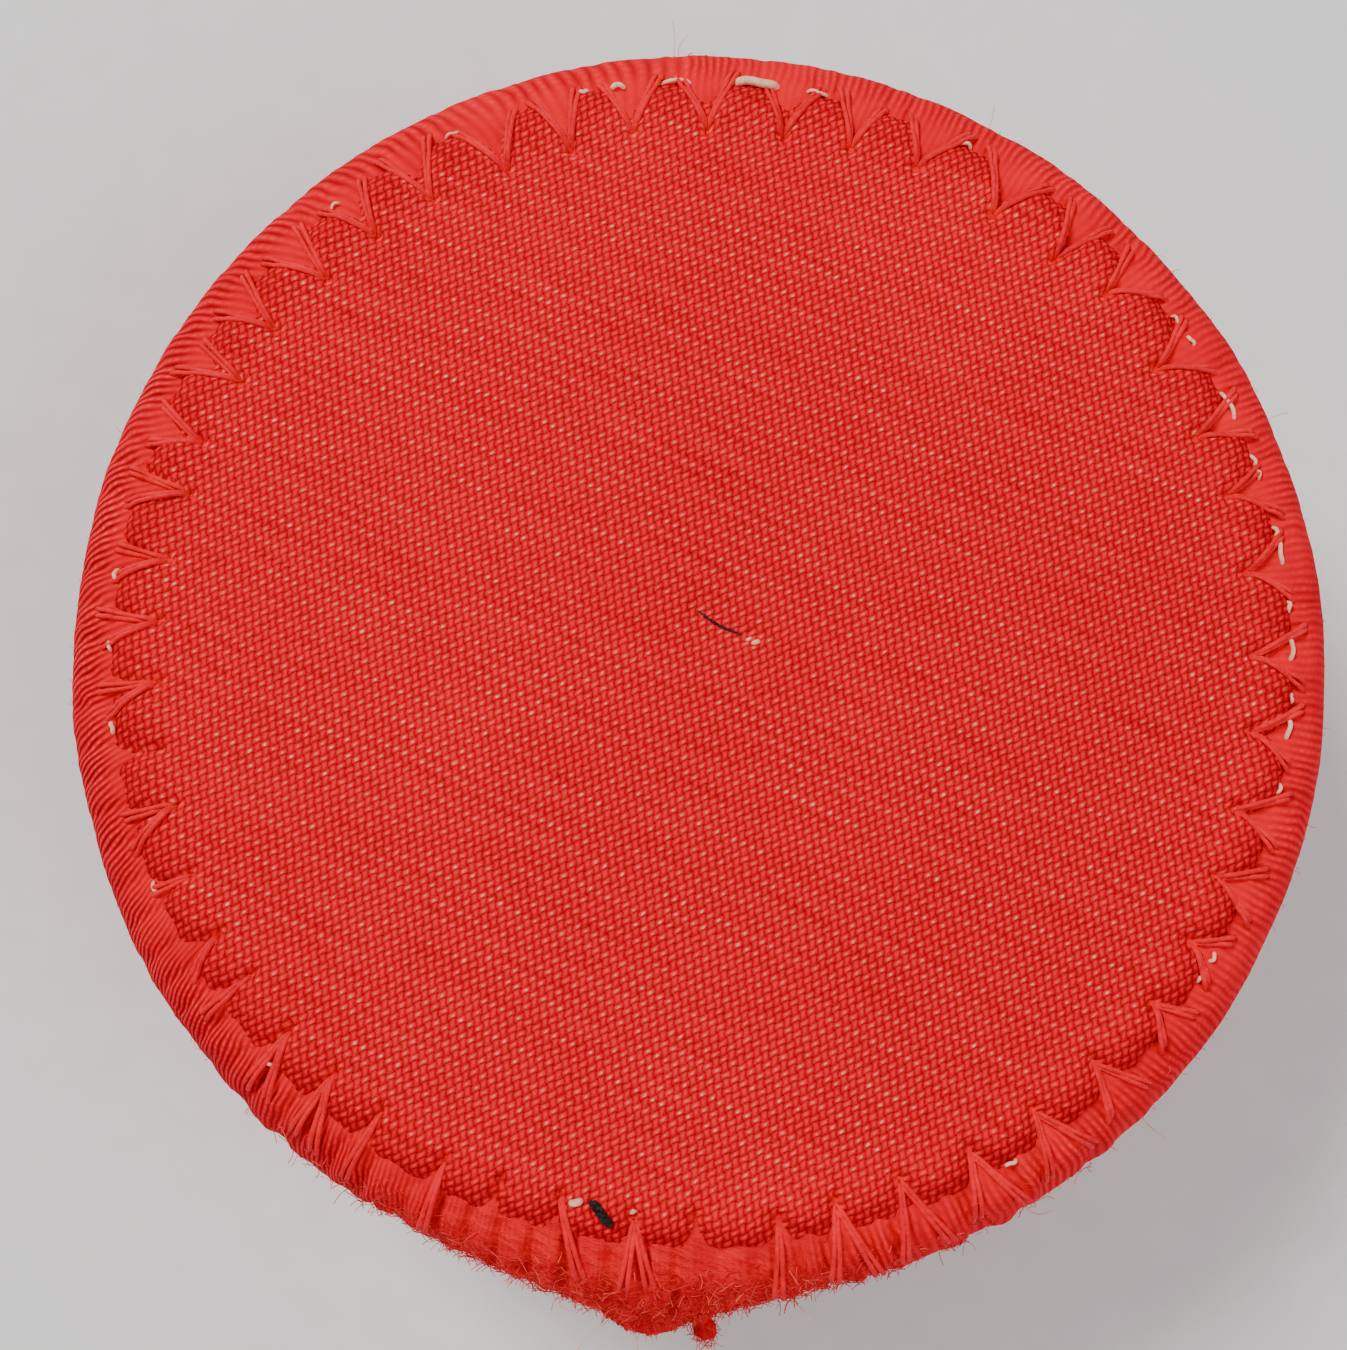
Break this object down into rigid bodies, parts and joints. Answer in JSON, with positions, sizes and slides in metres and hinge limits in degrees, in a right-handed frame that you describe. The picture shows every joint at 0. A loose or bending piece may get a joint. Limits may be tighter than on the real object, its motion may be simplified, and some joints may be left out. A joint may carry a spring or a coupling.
{
  "type": "wrist pin cushion",
  "caption": "Round stuffed cloth cushion for holding pins, with a hand-stitched flat face and a folding hook-and-loop wrist strap underneath.",
  "frame": {"origin": "on the surface it lies on, under the middle of the round face", "axes": "+Z out of the face, -Y towards the rim where the strap leaves the cushion, +X to the right with -Y towards the viewer"},
  "size_m": [0.07, 0.0721, 0.0304],
  "materials": {
    "red_cotton": "saturated red plain-weave cotton with paler thread crowns",
    "red_fray": "frayed red cotton ends and loose pale fibres",
    "red_thread": "doubled red sewing thread",
    "cream_thread": "cream basting thread, slightly glossy",
    "black_thread": "black sewing thread",
    "black_webbing": "matte black woven webbing",
    "hook_tape": "black nylon hook tape",
    "loop_tape": "black brushed loop tape",
    "card": "stiff buff card",
    "wadding": "off-white packed wool wadding"
  },
  "bodies": {
    "cushion": {"face_cover": "red_cotton", "side_band": "red_cotton", "base_cover": "red_cotton", "rim_tuft": "red_fray", "wadding": "wadding", "stiffener_card": "card", "face_zigzag_stitch": "red_thread", "base_zigzag_stitch": "red_thread", "face_gather_thread": "red_thread", "base_gather_thread": "red_thread", "face_running_stitch": "cream_thread", "centre_tack": "black_thread", "edge_tack": "black_thread", "strap_sewn_end": "black_webbing", "landing_tape": "loop_tape", "strap_box_stitch": "black_thread", "landing_tape_stitch": "black_thread", "strap_near_fold": "black_webbing"},
    "strap_near": {"strap_near": "black_webbing", "strap_far_fold": "black_webbing"},
    "strap_far": {"strap_far": "black_webbing", "hook_tape": "hook_tape", "hook_tape_stitch": "black_thread"}
  },
  "joints": [
    {"name": "strap_rim_fold", "type": "hinge", "parent": "cushion", "child": "strap_near", "pos_m": [0, -0.031, 0.004], "axis": [-1, 0, 0], "range_deg": [0, 180], "deforming": ["strap_near_fold"]},
    {"name": "strap_end_fold", "type": "hinge", "parent": "strap_near", "child": "strap_far", "pos_m": [0, 0.033, 0.0018], "axis": [1, 0, 0], "range_deg": [0, 180], "deforming": ["strap_far_fold"]}
  ]
}
